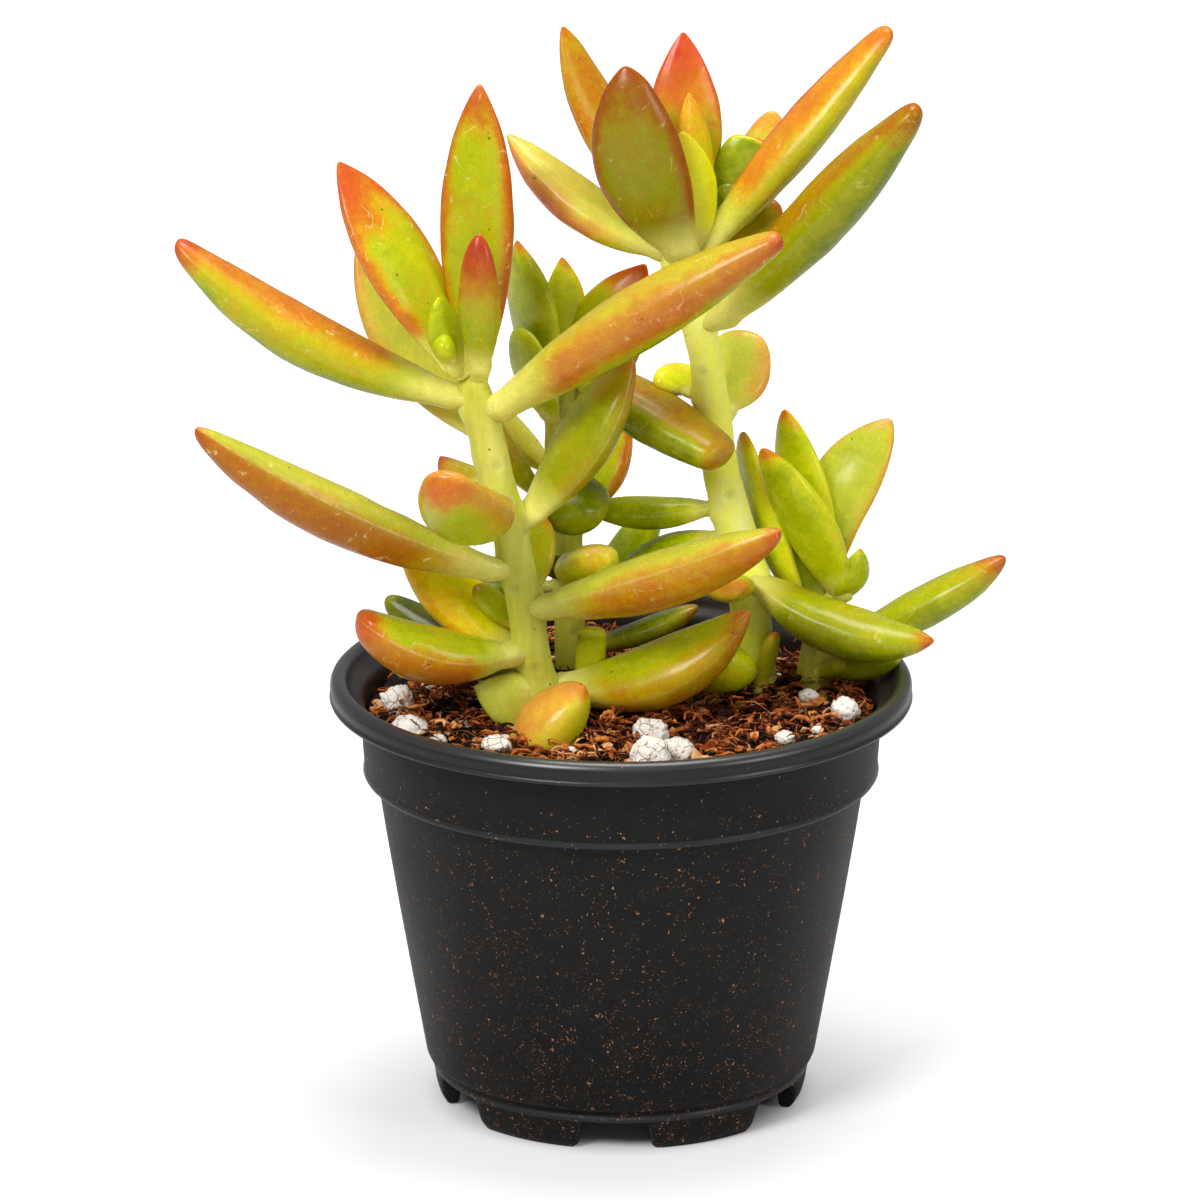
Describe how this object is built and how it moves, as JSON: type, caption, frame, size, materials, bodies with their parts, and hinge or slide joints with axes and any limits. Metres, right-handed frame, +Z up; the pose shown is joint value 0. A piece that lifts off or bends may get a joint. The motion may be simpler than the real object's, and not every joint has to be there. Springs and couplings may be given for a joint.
{
  "type": "potted stonecrop",
  "caption": "Branching stonecrop succulent with plump boat-shaped green and coral leaves, growing in a small round black nursery pot of coir mix.",
  "frame": {"origin": "bottom centre of the whole object's bounding box, on the surface that the pot's feet stand on", "axes": "+Z up, -Y towards the front, +X to the right; the pot's own axis is upright at x = 4.0 mm, y = 0"},
  "size_m": [0.1268, 0.09, 0.1686],
  "materials": {
    "black_plastic": "satin",
    "potting_mix": "matte",
    "perlite": "matte",
    "stem_flesh": "satin",
    "leaf_flesh": "satin"
  },
  "bodies": {
    "root": {"pot": "black_plastic", "soil": "potting_mix", "perlite_grain_front": "perlite", "perlite_grain_right": "perlite", "perlite_grain_left": "perlite", "stem_left": "stem_flesh", "stem_middle": "stem_flesh", "stem_right": "stem_flesh", "stem_offshoot": "stem_flesh", "leaf_left_01": "leaf_flesh", "leaf_left_02": "leaf_flesh", "leaf_left_03": "leaf_flesh", "leaf_left_04": "leaf_flesh", "leaf_left_05": "leaf_flesh", "leaf_left_06": "leaf_flesh", "leaf_left_07": "leaf_flesh", "leaf_left_08": "leaf_flesh", "leaf_left_09": "leaf_flesh", "leaf_left_10": "leaf_flesh", "leaf_left_11": "leaf_flesh", "leaf_left_12": "leaf_flesh", "leaf_left_13": "leaf_flesh", "leaf_left_14": "leaf_flesh", "leaf_left_15": "leaf_flesh", "leaf_left_16": "leaf_flesh", "leaf_left_17": "leaf_flesh", "leaf_left_18": "leaf_flesh", "leaf_middle_01": "leaf_flesh", "leaf_middle_02": "leaf_flesh", "leaf_middle_03": "leaf_flesh", "leaf_middle_04": "leaf_flesh", "leaf_middle_05": "leaf_flesh", "leaf_middle_06": "leaf_flesh", "leaf_middle_07": "leaf_flesh", "leaf_middle_08": "leaf_flesh", "leaf_middle_09": "leaf_flesh", "leaf_middle_10": "leaf_flesh", "leaf_middle_11": "leaf_flesh", "leaf_middle_12": "leaf_flesh", "leaf_middle_13": "leaf_flesh", "leaf_right_01": "leaf_flesh", "leaf_right_02": "leaf_flesh", "leaf_right_03": "leaf_flesh", "leaf_right_04": "leaf_flesh", "leaf_right_05": "leaf_flesh", "leaf_right_06": "leaf_flesh", "leaf_right_07": "leaf_flesh", "leaf_right_08": "leaf_flesh", "leaf_right_09": "leaf_flesh", "leaf_right_10": "leaf_flesh", "leaf_right_11": "leaf_flesh", "leaf_right_12": "leaf_flesh", "leaf_right_13": "leaf_flesh", "leaf_right_14": "leaf_flesh", "leaf_offshoot_01": "leaf_flesh", "leaf_offshoot_02": "leaf_flesh", "leaf_offshoot_03": "leaf_flesh", "leaf_offshoot_04": "leaf_flesh", "leaf_offshoot_05": "leaf_flesh", "leaf_offshoot_06": "leaf_flesh"}
  },
  "joints": []
}
